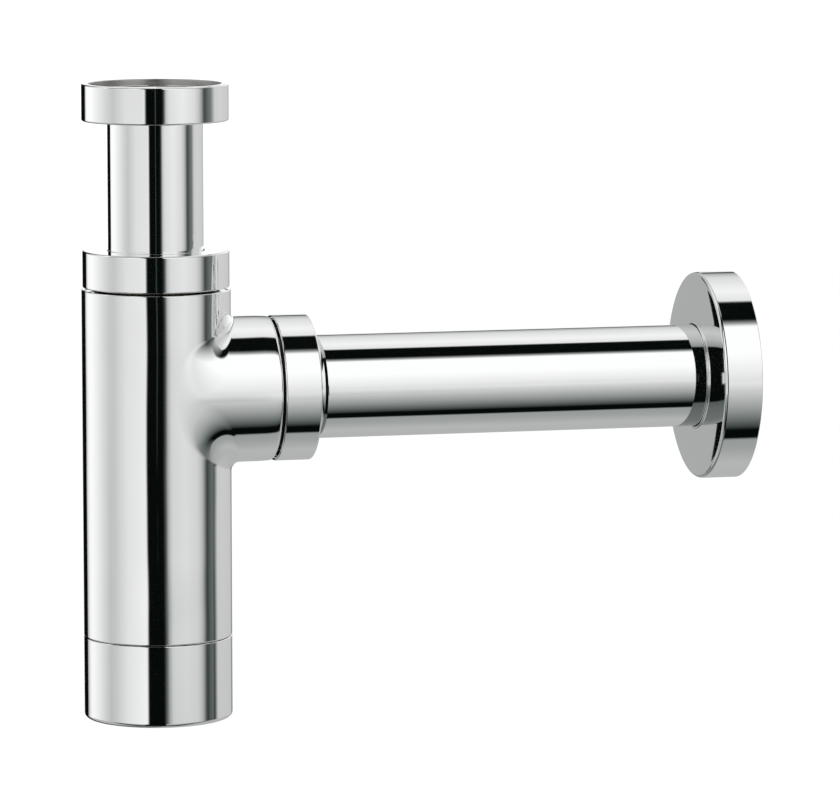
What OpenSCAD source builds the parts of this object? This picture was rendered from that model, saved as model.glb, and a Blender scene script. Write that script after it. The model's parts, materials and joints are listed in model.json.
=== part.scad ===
// Bottle trap for a basin waste: an upright bottle with a screwed cap, a height-adjustable inlet tube,
// a side outlet tube and a wall flange. Origin: centre of the sealing face where the basin waste seats
// on the inlet gasket. +Z up along the bottle, +X along the outlet tube, towards the wall.

/* [Overall] */
// Height from the cap's bottom to the inlet nut's top
trap_h = 214; // [206:1:230]
// Depth of the outlet tube's axis below the sealing face
outlet_drop = 96.2; // [90:0.1:104]
// Distance from the bottle's axis to the wall
wall_reach = 202; // [150:1:300]
// Length of inlet tube that shows between the two upper nuts
tube_show = 43.4; // [35:0.1:44]

/* [Tubes] */
// Outer diameter of the inlet tube and of the outlet tube's two ends
tube_d = 32; // [30:0.5:32]
// Outer diameter of the outlet tube between its ends
wide_tube_d = 35; // [33:0.5:36]
// Wall of both tubes
tube_wall = 1; // [0.8:0.1:1.2]
// Length of outlet tube beyond the wall face, which enters the drain
spigot_len = 5; // [4:0.5:60]
// Length of the inlet tube below its sealing flare
inlet_tube_len = 102; // [90:1:115]

/* [Bottle] */
// Outer diameter of the bottle and its cap
body_d = 50; // [49.6:0.1:52]
// Wall of the bottle
body_wall = 1.7; // [1.4:0.1:2]
// Outer diameter of the side branch
branch_d = 49.2; // [46:0.1:49.5]
// Distance from the bottle's axis to the end of the branch
branch_reach = 38.7; // [37:0.1:45]
// Height of the bottom cap
cap_h = 27.7; // [24:0.1:32]
// Distance from the dip tube's lower end to the cap's bottom
dip_clearance = 42; // [38:1:46]

/* [Nuts] */
// Outer diameter of the three nuts
nut_d = 49.2; // [47:0.1:50]
// Height of the three nuts
nut_h = 12.4; // [12:0.1:14]
// Depth of the sealing face below the inlet nut's top
seal_depth = 7.3; // [7:0.1:7.6]
// Open groove between a slip nut and the bottle
groove = 0.65; // [0.4:0.05:1]

/* [Threads] */
// Pitch diameter of the G 1 1/4 thread under the three nuts
slip_thread_d = 40.43; // [40.43]
// Pitch diameter of the G 1 1/2 thread inside the cap
cap_thread_d = 46.32; // [46.32]
// Total clearance on the radius between a male and a female thread
thread_gap = 0.06; // [0.04:0.01:0.1]

/* [Wall flange] */
// Outer diameter of the wall flange
flange_d = 71; // [65:1:80]
// Depth of the wall flange
flange_depth = 13.5; // [12:0.5:18]
// Rise of the flange's face from its edge to its middle
flange_dome = 0.8; // [0.2:0.1:1.5]
// Height of the small lip round the tube
collar_h = 0.8; // [0.4:0.1:2]

/* [Hidden] */
$fn = 128;
// Added to a cut so that it leaves its solid cleanly
cut = 0.5;

// Clearances: touching faces, a tube that slides in a ring, and a ring that turns in its seat
face_gap = 0.05;
slide_gap = 0.06;
seat_gap = 0.3;

tube_r = tube_d / 2;
wide_r = wide_tube_d / 2;
body_r = body_d / 2;
bore_r = body_r - body_wall;
nut_r = nut_d / 2;
male_r = (slip_thread_d - thread_gap) / 2;
female_r = (slip_thread_d + thread_gap) / 2;
cap_male_r = (cap_thread_d - thread_gap) / 2;
cap_female_r = (cap_thread_d + thread_gap) / 2;
// Room that the real thread's crests and roots take on the radius
thread_room = 0.8;

// Inside a slip nut, from its open face: neck, cone seal's rim, slip ring, lip
lip_t = 2;
ring_t = 1.4;
seal_rim_t = 1.6;
stack_r = female_r - thread_room;
neck_in_nut = nut_h - lip_t - ring_t - seal_rim_t - 2 * face_gap;
neck_len = groove + neck_in_nut;
seat_cone = 1.9;
edge_r = 1;

// Levels, from the top down
nut_top = seal_depth;
nut_low = nut_top - nut_h;
top_nut_low = nut_low - tube_show - nut_h;
body_top = top_nut_low - groove;
cap_low = nut_top - trap_h;
seam = cap_low + cap_h;
seam_gap = 0.15;

// Inlet joint
gasket_t = 1.5;
flare_t = 1;
flare_r = stack_r;
inlet_ring_t = 0.8;
inlet_lip_t = nut_h - seal_depth - gasket_t - flare_t - inlet_ring_t - 2 * face_gap;
mouth_r = 22.1;
mouth_depth = 2.3;
mouth_cone = 0.8;
relief_r = female_r + thread_room;

// Dip tube
dip_r = 18;
dip_wall = 1.2;
dip_rim_t = 1.5;
dip_rim_r = stack_r;
gland = 1.1;
o_ring_d = 1.2;
neck_bore_r = dip_r + 0.1;

// Bottle's lower neck, which carries the cap
low_neck_len = 12;
low_bore_r = 21;
cap_gasket_t = 2;
cap_base_t = 2.5;
cap_bowl_r = 20.5;
shoulder_t = 3;

// Branch
chamber_r = 21.5;
chamber_end = 31;
stop_t = 1.5;
stop_r = tube_r - 1.2;
socket_r = tube_r + 0.2;
nut_x = branch_reach + groove;

// Outlet tube: its narrow end in the branch, then a cone just outside the nut
tube_start = chamber_end + stop_t + 2;
cone_x = nut_x + nut_h + 0.3;
cone_len = 3;
spigot_cone = 0.5;

// Wall flange
flange_r = flange_d / 2;
flange_wall = 1.2;
flange_x = wall_reach - flange_depth;
flange_hole_r = wide_r + seat_gap;
hub_r = wide_r + 3.5;
hub_len = 7;
grip_t = 2;
grip_r = wide_r + 1.8;
collar_r = wide_r + 1.1;
flange_edge_r = 1.2;

// Points of an arc round centre c, from angle a to angle b
function arc(c, r, a, b, steps = 8) =
    [for (i = [0:steps]) let(t = a + (b - a) * i / steps) c + r * [cos(t), sin(t)]];

// Disc on the XY plane with rounded lower and upper edges
module rounded_disc(r, h, low, high) {
    low_edge = arc([r - low, low], low, -90, 0);
    high_edge = arc([r - high, h - high], high, 0, 90);
    rotate_extrude() polygon(concat([[0, 0]], low_edge, high_edge, [[0, h]]));
}

// Flat ring on the XY plane
module ring(outer, inner, h) {
    difference() {
        cylinder(r = outer, h = h);
        translate([0, 0, -cut]) cylinder(r = inner, h = h + 2 * cut);
    }
}

// Lays a shape built along +Z on the outlet's axis, at distance x from the bottle's axis
module on_outlet(x) {
    translate([x, 0, -outlet_drop]) rotate([0, 90, 0]) children();
}

// Nut with its open, threaded end at the bottom and its lip at the top
module slip_nut() {
    lip_z = nut_h - lip_t;
    difference() {
        rounded_disc(nut_r, nut_h, edge_r, edge_r);
        translate([0, 0, -cut]) cylinder(r = female_r, h = lip_z + cut);
        cylinder(r = tube_r + seat_gap, h = nut_h + cut);
    }
}

// Rubber ring: a rim that the slip ring presses, and a cone that enters the seat below it
module cone_seal(seat_r) {
    inner = tube_r + slide_gap;
    tip_z = -(seat_cone - seat_gap);
    top_r = seat_r - seat_gap;
    rotate_extrude()
        polygon([[inner, tip_z], [top_r + tip_z, tip_z], [top_r, 0], [stack_r, 0],
            [stack_r, seal_rim_t - face_gap], [inner, seal_rim_t - face_gap]]);
}

// Level of the cone seal's rim inside a slip nut, from the nut's open face
seal_z = neck_in_nut + face_gap;
slip_ring_z = seal_z + seal_rim_t;

// The bottle with its side branch and its three male threads
module body() {
    color("silver") difference() {
        union() {
            translate([0, 0, seam + seam_gap]) rounded_disc(body_r, body_top - seam - seam_gap, 0.2, edge_r);
            translate([0, 0, body_top - cut]) cylinder(r = male_r, h = neck_len - dip_rim_t + cut);
            translate([0, 0, seam - low_neck_len]) cylinder(r = cap_male_r, h = low_neck_len + shoulder_t);
            on_outlet(0) rounded_disc(branch_d / 2, branch_reach, edge_r, 0.4);
            on_outlet(branch_reach - cut) cylinder(r = male_r, h = neck_len + cut);
        }
        bottle_hollow();
        outlet_hollow();
    }
}

// The bottle's water space, its top bore with the O-ring's gland, and its open bottom
module bottle_hollow() {
    neck_top = body_top + neck_len - dip_rim_t;
    neck_bore_low = body_top - shoulder_t - cut;
    low_bore_low = seam - low_neck_len - cut;
    translate([0, 0, seam + shoulder_t]) cylinder(r = bore_r, h = body_top - seam - 2 * shoulder_t);
    translate([0, 0, neck_bore_low]) cylinder(r = neck_bore_r, h = neck_top + cut - neck_bore_low);
    translate([0, 0, neck_top - gland]) cylinder(r = dip_r + gland, h = gland + cut);
    translate([0, 0, low_bore_low]) cylinder(r = low_bore_r, h = seam + shoulder_t + cut - low_bore_low);
}

// The branch's chamber, the stop lip, and the socket with its cone seat
module outlet_hollow() {
    neck_end = branch_reach + neck_len;
    on_outlet(0) cylinder(r = chamber_r, h = chamber_end);
    on_outlet(chamber_end - cut) cylinder(r = stop_r, h = stop_t + 2 * cut);
    on_outlet(chamber_end + stop_t) cylinder(r = socket_r, h = neck_end - chamber_end);
    on_outlet(neck_end - seat_cone)
        cylinder(r1 = socket_r, r2 = socket_r + seat_cone, h = seat_cone);
}

module bottom_cap() {
    ledge_z = cap_h - low_neck_len - cap_gasket_t - 2 * face_gap;
    color("silver") translate([0, 0, cap_low]) difference() {
        rounded_disc(body_r, cap_h, 1.5, 0.2);
        translate([0, 0, ledge_z]) cylinder(r = cap_female_r, h = cap_h);
        translate([0, 0, cap_base_t]) cylinder(r = cap_bowl_r, h = cap_h);
    }
}

module cap_gasket() {
    color("dimgray") translate([0, 0, seam - low_neck_len - face_gap - cap_gasket_t])
        ring(cap_female_r - thread_room, cap_bowl_r + face_gap, cap_gasket_t);
}

// Plastic tube that hangs by its rim on the bottle's neck and dips into the water
module dip_tube() {
    rim_top = body_top + neck_len;
    low = cap_low + dip_clearance;
    color("white") difference() {
        union() {
            translate([0, 0, low]) cylinder(r = dip_r, h = rim_top - low);
            translate([0, 0, rim_top - dip_rim_t]) cylinder(r = dip_rim_r, h = dip_rim_t);
        }
        translate([0, 0, low - cut]) cylinder(r = dip_r - dip_wall, h = rim_top - low + 2 * cut);
        translate([0, 0, rim_top - seat_cone])
            cylinder(r1 = dip_r - dip_wall, r2 = dip_r - dip_wall + seat_cone, h = seat_cone);
    }
}

module dip_tube_o_ring() {
    color("dimgray") translate([0, 0, body_top + neck_len - dip_rim_t - gland / 2])
        rotate_extrude() translate([dip_r + gland / 2, 0]) circle(d = o_ring_d, $fn = 32);
}

module top_nut() {
    color("silver") translate([0, 0, top_nut_low]) slip_nut();
}

module top_slip_ring() {
    color("white") translate([0, 0, top_nut_low + slip_ring_z])
        ring(stack_r, tube_r + slide_gap, ring_t);
}

module top_cone_seal() {
    color("dimgray") translate([0, 0, top_nut_low + seal_z])
        cone_seal(dip_r - dip_wall + seat_cone);
}

// Vertical tube with an outward flare that carries the inlet gasket
module inlet_tube() {
    flare_low = -gasket_t - face_gap - flare_t;
    color("silver") difference() {
        union() {
            translate([0, 0, flare_low]) cylinder(r = flare_r, h = flare_t);
            translate([0, 0, flare_low + flare_t - inlet_tube_len]) cylinder(r = tube_r, h = inlet_tube_len);
        }
        translate([0, 0, flare_low - inlet_tube_len])
            cylinder(r = tube_r - tube_wall, h = inlet_tube_len + flare_t + cut);
    }
}

// Nut with its lip at the bottom and its wide, threaded mouth at the top
module inlet_nut() {
    cone_low = nut_top - mouth_depth - mouth_cone;
    color("silver") difference() {
        translate([0, 0, nut_low]) rounded_disc(nut_r, nut_h, edge_r, edge_r);
        translate([0, 0, nut_low - cut]) cylinder(r = tube_r + seat_gap, h = nut_h);
        translate([0, 0, nut_low + inlet_lip_t]) cylinder(r = relief_r, h = -nut_low - inlet_lip_t);
        cylinder(r = female_r, h = nut_top);
        translate([0, 0, cone_low]) cylinder(r1 = female_r, r2 = mouth_r, h = mouth_cone);
        translate([0, 0, nut_top - mouth_depth]) cylinder(r = mouth_r, h = mouth_depth + cut);
    }
}

module inlet_slip_ring() {
    color("white") translate([0, 0, nut_low + inlet_lip_t])
        ring(stack_r, tube_r + slide_gap, inlet_ring_t);
}

module inlet_gasket() {
    color("dimgray") translate([0, 0, -gasket_t]) ring(stack_r, tube_r - tube_wall + 0.2, gasket_t);
}

module outlet_nut() {
    color("silver") on_outlet(nut_x) slip_nut();
}

module outlet_slip_ring() {
    color("white") on_outlet(nut_x + slip_ring_z) ring(stack_r, tube_r + slide_gap, ring_t);
}

module outlet_cone_seal() {
    color("dimgray") on_outlet(nut_x + seal_z) cone_seal(socket_r + seat_cone);
}

// Horizontal tube: wide between its ends, with a cone that meets the nut and a spigot for the drain
module outlet_tube() {
    rise = wide_r - tube_r;
    inner_r = tube_r - tube_wall;
    spigot_x = wall_reach + spigot_len - spigot_cone;
    color("silver") difference() {
        union() {
            on_outlet(tube_start) cylinder(r = tube_r, h = spigot_x - tube_start);
            on_outlet(cone_x) cylinder(r1 = tube_r, r2 = wide_r, h = cone_len);
            on_outlet(cone_x + cone_len) cylinder(r = wide_r, h = wall_reach - rise - cone_x - cone_len);
            on_outlet(wall_reach - rise) cylinder(r1 = wide_r, r2 = tube_r, h = rise);
            on_outlet(spigot_x) cylinder(r1 = tube_r, r2 = tube_r - spigot_cone, h = spigot_cone);
        }
        on_outlet(tube_start - cut) cylinder(r = inner_r, h = spigot_x - tube_start + 2 * cut + spigot_cone);
        on_outlet(cone_x + tube_wall) cylinder(r1 = inner_r, r2 = wide_r - tube_wall, h = cone_len);
        on_outlet(cone_x + tube_wall + cone_len)
            cylinder(r = wide_r - tube_wall, h = wall_reach - rise - 2 * tube_wall - cone_x - cone_len);
        on_outlet(wall_reach - rise - tube_wall) cylinder(r1 = wide_r - tube_wall, r2 = inner_r, h = rise);
    }
}

// Outline of the flange's domed front and its rounded edge, as [radius, height above the wall]
function flange_outline() =
    let(face_r = flange_r - flange_edge_r, edge_h = flange_depth - flange_dome - flange_edge_r)
    concat(
        [[0, 0], [flange_r, 0]],
        arc([face_r, edge_h], flange_edge_r, 0, 90),
        [for (i = [7:-1:0]) let(t = i / 8) [face_r * t, flange_depth - flange_dome * t * t]]
    );

// Pressed cover, hollow towards the wall, with a hub that holds the grip ring
module wall_flange() {
    hollow_h = flange_depth - flange_dome - flange_wall;
    hole_x = flange_x - collar_h - cut;
    color("silver") difference() {
        on_outlet(wall_reach) mirror([0, 0, 1]) union() {
            rotate_extrude() polygon(flange_outline());
            translate([0, 0, flange_depth - cut]) rounded_disc(collar_r, collar_h + cut, 0.1, 0.4);
        }
        on_outlet(wall_reach) mirror([0, 0, 1]) difference() {
            translate([0, 0, -cut]) cylinder(r = flange_r - flange_wall, h = hollow_h + cut);
            translate([0, 0, flange_depth - hub_len]) cylinder(r = hub_r, h = hub_len);
        }
        on_outlet(hole_x) cylinder(r = flange_hole_r, h = wall_reach + cut - hole_x);
        on_outlet(flange_x + hub_len - 2 * grip_t) cylinder(r = grip_r, h = grip_t);
    }
}

module flange_grip_ring() {
    color("dimgray") on_outlet(flange_x + hub_len - 2 * grip_t + face_gap)
        ring(grip_r - face_gap, wide_r + slide_gap, grip_t - 2 * face_gap);
}

body();
bottom_cap();
cap_gasket();
dip_tube();
dip_tube_o_ring();
top_nut();
top_slip_ring();
top_cone_seal();
inlet_tube();
inlet_nut();
inlet_slip_ring();
inlet_gasket();
outlet_nut();
outlet_slip_ring();
outlet_cone_seal();
outlet_tube();
wall_flange();
flange_grip_ring();
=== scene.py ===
import json
import math

import bpy
import numpy as np
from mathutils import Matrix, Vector


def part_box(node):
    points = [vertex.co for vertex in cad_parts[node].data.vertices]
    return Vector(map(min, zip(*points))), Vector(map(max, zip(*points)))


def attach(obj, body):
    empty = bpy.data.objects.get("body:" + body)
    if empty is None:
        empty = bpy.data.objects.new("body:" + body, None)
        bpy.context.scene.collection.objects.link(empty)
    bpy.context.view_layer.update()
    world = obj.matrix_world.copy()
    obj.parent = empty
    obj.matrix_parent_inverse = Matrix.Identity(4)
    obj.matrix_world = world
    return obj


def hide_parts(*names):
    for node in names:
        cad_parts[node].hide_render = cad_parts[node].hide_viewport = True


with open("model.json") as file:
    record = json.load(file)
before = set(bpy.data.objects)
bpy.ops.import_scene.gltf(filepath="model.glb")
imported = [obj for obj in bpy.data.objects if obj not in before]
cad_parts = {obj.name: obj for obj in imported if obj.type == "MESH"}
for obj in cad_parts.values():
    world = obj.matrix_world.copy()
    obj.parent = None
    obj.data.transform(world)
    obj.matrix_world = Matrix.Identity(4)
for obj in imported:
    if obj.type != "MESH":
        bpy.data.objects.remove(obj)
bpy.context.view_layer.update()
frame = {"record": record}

MM = 0.001

# ---------------------------------------------------------------- sizes, in millimetres


def box_mm(node):
    """Lowest and highest corners of a CAD node, in millimetres."""
    low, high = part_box(node)
    return low / MM, high / MM


NUT_LOW, NUT_HIGH = box_mm("inlet_nut")
TOP_NUT_LOW, _ = box_mm("top_nut")
OUT_NUT_LOW, OUT_NUT_HIGH = box_mm("outlet_nut")
BODY_LOW, BODY_HIGH = box_mm("body")
CAP_LOW, CAP_HIGH = box_mm("bottom_cap")
CAP_GASKET_LOW, CAP_GASKET_HIGH = box_mm("cap_gasket")
DIP_LOW, DIP_HIGH = box_mm("dip_tube")
DIP_O_RING_LOW, DIP_O_RING_HIGH = box_mm("dip_tube_o_ring")
TUBE_LOW, TUBE_HIGH = box_mm("inlet_tube")
GASKET_LOW, GASKET_HIGH = box_mm("inlet_gasket")
IN_RING_LOW, IN_RING_HIGH = box_mm("inlet_slip_ring")
TOP_RING_LOW, TOP_RING_HIGH = box_mm("top_slip_ring")
TOP_SEAL_LOW, TOP_SEAL_HIGH = box_mm("top_cone_seal")
OUT_RING_LOW, OUT_RING_HIGH = box_mm("outlet_slip_ring")
OUT_SEAL_LOW, OUT_SEAL_HIGH = box_mm("outlet_cone_seal")
OUT_TUBE_LOW, OUT_TUBE_HIGH = box_mm("outlet_tube")
FLANGE_LOW, FLANGE_HIGH = box_mm("wall_flange")
GRIP_LOW, GRIP_HIGH = box_mm("flange_grip_ring")

OUTLET_Z = (OUT_TUBE_LOW.z + OUT_TUBE_HIGH.z) / 2
NUT_R = NUT_HIGH.x
NUT_H = NUT_HIGH.z - NUT_LOW.z
BARREL_R = CAP_HIGH.x
TUBE_R = 16.0
TUBE_WALL = 1.0
WIDE_R = OUT_TUBE_HIGH.y
BRANCH_R = 24.6
BRANCH_END = 38.7
# The bottle's shell ends this far under the top nut
GROOVE = 0.65
BODY_TOP = TOP_NUT_LOW.z - GROOVE
SEAM = CAP_HIGH.z
FLANGE_R = FLANGE_HIGH.y
# Room between a ring and the tube in it, and between a ring and its seat
SLIDE_GAP = 0.06
SEAT_GAP = 0.05
RING_HOLE_R = TUBE_R + SLIDE_GAP

# Threads: G 1 1/4 on the nuts and G 1 1/2 on the cap, 11 to the inch. The pitch radii are the CAD's.
# THREAD_DEPTH is half the height from root to crest
PITCH = 25.4 / 11
THREAD_DEPTH = 0.68
SLIP_MALE_R, SLIP_FEMALE_R = 20.185, 20.245
CAP_MALE_R, CAP_FEMALE_R = 23.13, 23.19
SLIP_MALE_ROOT, SLIP_FEMALE_ROOT = SLIP_MALE_R - THREAD_DEPTH, SLIP_FEMALE_R + THREAD_DEPTH
CAP_MALE_ROOT, CAP_FEMALE_ROOT = CAP_MALE_R - THREAD_DEPTH, CAP_FEMALE_R + THREAD_DEPTH

# ---------------------------------------------------------------- mesh building

ARC_STEP = math.radians(9)
THREAD_ROWS = 12
ROUND = 192
CHROME_SIDE, BORE_SIDE, THREAD_SIDE = 0, 1, 2


class Skin:
    """A mesh gathered ring by ring, with the true surface normal kept for every face corner."""

    def __init__(self):
        self.points = []
        self.faces = []
        self.normals = []
        self.sides = []

    def ring(self, points):
        start = len(self.points)
        self.points.extend(points)
        return np.arange(start, start + len(points))

    def band(self, first, second, first_normals, second_normals, side=CHROME_SIDE, closed=True):
        """Quads between two rings, turned so that they face along the given normals."""
        corners = [first, np.roll(first, -1), np.roll(second, -1), second]
        normals = [first_normals, np.roll(first_normals, -1, 0),
                   np.roll(second_normals, -1, 0), second_normals]
        quads = np.stack(corners, 1)
        quad_normals = np.stack(normals, 1)
        if not closed:
            quads, quad_normals = quads[:-1], quad_normals[:-1]
        p = np.array([[self.points[i] for i in quad] for quad in quads])
        facing = np.cross(p[:, 2] - p[:, 0], p[:, 3] - p[:, 1])
        if (facing * quad_normals.mean(1)).sum() < 0:
            quads, quad_normals = quads[:, ::-1], quad_normals[:, ::-1]
        for quad, around in zip(quads.tolist(), quad_normals.tolist()):
            kept = [k for k in range(4) if quad[k] != quad[k - 1]]
            self.faces.append([quad[k] for k in kept])
            self.normals.extend(around[k] for k in kept)
        self.sides.extend([side] * len(quads))

    def to_object(self, name, materials):
        mesh = bpy.data.meshes.new(name)
        mesh.from_pydata([tuple(c * MM for c in p) for p in self.points], [], self.faces)
        for material in materials:
            mesh.materials.append(material)
        mesh.polygons.foreach_set("material_index", [min(s, len(materials) - 1) for s in self.sides])
        mesh.polygons.foreach_set("use_smooth", [True] * len(self.faces))
        mesh.normals_split_custom_set(self.normals)
        mesh.validate()
        piece = bpy.data.objects.new(name, mesh)
        bpy.context.scene.collection.objects.link(piece)
        return piece


class Upright:
    """Places turned shapes round the bottle's axis: height is Z."""

    @staticmethod
    def points(radius, height, angles):
        radius = np.broadcast_to(radius, angles.shape)
        return np.stack([radius * np.cos(angles), radius * np.sin(angles), np.full(angles.shape, height)], 1)

    @staticmethod
    def normals(radial, around, along, angles):
        c, s = np.cos(angles), np.sin(angles)
        n = np.stack([radial * c - around * s, radial * s + around * c, along + 0 * c], 1)
        return n / np.linalg.norm(n, axis=1, keepdims=True)


class Outlet:
    """Places turned shapes round the outlet's axis: height is X."""

    @staticmethod
    def points(radius, height, angles):
        p = Upright.points(radius, height, angles)
        return np.stack([p[:, 2], p[:, 0], p[:, 1] + OUTLET_Z], 1)

    @staticmethod
    def normals(radial, around, along, angles):
        n = Upright.normals(radial, around, along, angles)
        return np.stack([n[:, 2], n[:, 0], n[:, 1]], 1)


class Corner:
    """A corner of a turned outline.

    thread (1 male, -1 female) and side are those of the edge that starts here.
    """

    def __init__(self, radius, height, rounding=0.0, thread=0, side=CHROME_SIDE, smooth=False):
        self.at = np.array([radius, height], float)
        self.rounding = rounding
        self.thread = thread
        self.side = side
        self.smooth = smooth


def outward(direction):
    """Normal of an outline's edge, with the material on the left of the way along it."""
    return np.array([direction[1], -direction[0]])


def unit(v):
    return v / np.linalg.norm(v)


def corner_arc(before, corner, after):
    """Points and normals of a rounded corner, from the edge before it to the edge after it."""
    way_in, way_out = unit(corner.at - before.at), unit(after.at - corner.at)
    n_in, n_out = outward(way_in), outward(way_out)
    if corner.smooth:
        n = unit(n_in + n_out)
        return [corner.at], [(n, n)]
    if corner.rounding <= 0:
        return [corner.at], [(n_in, n_out)]
    turn = math.atan2(way_in[0] * way_out[1] - way_in[1] * way_out[0], float(np.dot(way_in, way_out)))
    bulge = 1 if turn > 0 else -1
    start = corner.at - way_in * corner.rounding * math.tan(abs(turn) / 2)
    centre = start - bulge * n_in * corner.rounding
    steps = max(3, math.ceil(abs(turn) / ARC_STEP))
    points, normals = [], []
    for i in range(steps + 1):
        c, s = math.cos(turn * i / steps), math.sin(turn * i / steps)
        n = np.array([n_in[0] * c - n_in[1] * s, n_in[0] * s + n_in[1] * c])
        points.append(centre + bulge * n * corner.rounding)
        normals.append((n, n))
    return points, normals


def threaded(height, low, high, angles, root_r, facing):
    """Radius and normal of one row of a right-hand thread. Its crests are cut at 45 degrees at both ends."""
    phase = 2 * math.pi * height / PITCH - angles
    radius = root_r + THREAD_DEPTH * (facing + np.cos(phase))
    slope_round = THREAD_DEPTH * np.sin(phase) / root_r
    slope_along = -THREAD_DEPTH * 2 * math.pi / PITCH * np.sin(phase)
    room = min(height - low, high - height)
    cut_r = root_r + facing * room
    is_cut = facing * (radius - cut_r) > 0
    cut_slope = facing if height - low < high - height else -facing
    radius = np.where(is_cut, cut_r, radius)
    slope_round = np.where(is_cut, 0, slope_round)
    slope_along = np.where(is_cut, cut_slope, slope_along)
    ones = np.ones(angles.shape)
    return radius, (facing * ones, -facing * slope_round, -facing * slope_along)


def turn_outline(skin, corners, angles, place, start=None, end=None):
    """Turns an outline round an axis.

    A closed outline comes back to its first corner. An open one joins the rings start and end.
    """
    is_open = start is not None
    count = len(corners)
    if not is_open:
        area = sum(a.at[0] * b.at[1] - b.at[0] * a.at[1] for a, b in zip(corners, corners[1:] + corners[:1]))
        assert area > 0, "a closed outline keeps its material on the left"
    stops = []
    for i, corner in enumerate(corners):
        if is_open and i in (0, count - 1):
            edge = corners[1].at - corners[0].at if i == 0 else corners[-1].at - corners[-2].at
            n = outward(unit(edge))
            stops.append(([corner.at], [(n, n)]))
        else:
            stops.append(corner_arc(corners[i - 1], corner, corners[(i + 1) % count]))

    def ring_at(radius, height):
        if np.max(radius) == 0:
            return np.repeat(skin.ring(place.points(0, height, angles[:1])), len(angles))
        return skin.ring(place.points(radius, height, angles))

    def flat_normals(n):
        return place.normals(n[0], 0, n[1], angles)

    rings = []
    for i, (points, _) in enumerate(stops):
        if is_open and i == 0:
            rings.append([start])
        elif is_open and i == count - 1:
            rings.append([end])
        else:
            rings.append([ring_at(*p) for p in points])
    for i, (points, normals) in enumerate(stops):
        for k in range(len(points) - 1):
            skin.band(rings[i][k], rings[i][k + 1],
                      flat_normals(normals[k][1]), flat_normals(normals[k + 1][0]), corners[i].side)
    for i in range(count - 1 if is_open else count):
        j = (i + 1) % count
        here, there = rings[i][-1], rings[j][0]
        n_here, n_there = flat_normals(stops[i][1][-1][1]), flat_normals(stops[j][1][0][0])
        if corners[i].thread:
            a, b = stops[i][0][-1], stops[j][0][0]
            low, high = sorted((a[1], b[1]))
            rows = math.ceil((high - low) / PITCH * THREAD_ROWS)
            for height in np.linspace(a[1], b[1], rows + 1)[1:-1]:
                radius, parts = threaded(height, low, high, angles, a[0], corners[i].thread)
                ring = ring_at(radius, height)
                n_ring = place.normals(*parts, angles)
                skin.band(here, ring, n_here, n_ring, corners[i].side)
                here, n_here = ring, n_ring
        skin.band(here, there, n_here, n_there, corners[i].side)


# ---------------------------------------------------------------- bottle

PATCH_ANGLE = math.radians(100)
PATCH_RISE = 30.0
PATCH_STEPS = 96
REST_STEPS = 84
BARREL_ROWS, BLEND_ROWS, BRANCH_ROWS = 14, 24, 6
# Width of the blend between barrel and branch, over, under and beside the branch
BLEND_OVER, BLEND_UNDER, BLEND_BESIDE = 1.4, 2.6, 9.0


def barrel_angles():
    """Angles round the bottle: the patch that carries the branch, then the rest."""
    patch = np.linspace(-PATCH_ANGLE, PATCH_ANGLE, PATCH_STEPS + 1)[:-1]
    rest = np.linspace(PATCH_ANGLE, 2 * math.pi - PATCH_ANGLE, REST_STEPS + 1)[:-1]
    return np.concatenate([patch, rest])


def blend_ball(barrel_r, branch_r, angles, blended):
    """Centre and radius of the ball between barrel and branch, by the angle round the branch.

    The ball touches both, as far from their crease as the blend is wide there.
    """
    c, s = np.cos(angles), np.sin(angles)
    narrow = np.where(s > 0, BLEND_OVER, BLEND_UNDER)
    width = narrow + (BLEND_BESIDE - narrow) * np.where(s > 0, c ** 4, c ** 2)
    facing = branch_r / barrel_r * c ** 2
    radius = blended * width * np.sqrt((1 + facing) / (1 - facing))
    reach = np.sqrt((barrel_r + radius) ** 2 - ((branch_r + radius) * c) ** 2)
    centre = np.stack([reach, (branch_r + radius) * c, OUTLET_Z + (branch_r + radius) * s], 1)
    return centre, radius


def blend_points(barrel_r, branch_r, angles, share):
    """Points of the blend, and the way from the ball's centre to them.

    Share 0 is on the barrel and 1 on the branch.
    """
    centre, radius = blend_ball(barrel_r, branch_r, angles, 1)
    on_barrel = -Upright.normals(1, 0, 0, np.arctan2(centre[:, 1], centre[:, 0]))
    on_branch = -Outlet.normals(1, 0, 0, angles)
    opening = np.arccos((on_barrel * on_branch).sum(1))[:, None]
    way = np.sin((1 - share) * opening) * on_barrel + np.sin(share * opening) * on_branch
    way = way / np.sin(opening)
    return centre + way * radius[:, None], way


def blend_normals(barrel_r, branch_r, angles, share):
    """Normals of the blend, from small steps along and across it."""
    step = 1e-4
    along = (blend_points(barrel_r, branch_r, angles + step, share)[0]
             - blend_points(barrel_r, branch_r, angles - step, share)[0])
    across = (blend_points(barrel_r, branch_r, angles, share + step)[0]
              - blend_points(barrel_r, branch_r, angles, share - step)[0])
    n = np.cross(along, across)
    n /= np.linalg.norm(n, axis=1, keepdims=True)
    way = blend_points(barrel_r, branch_r, angles, share)[1]
    return -n * np.sign((n * way).sum(1, keepdims=True))


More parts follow.
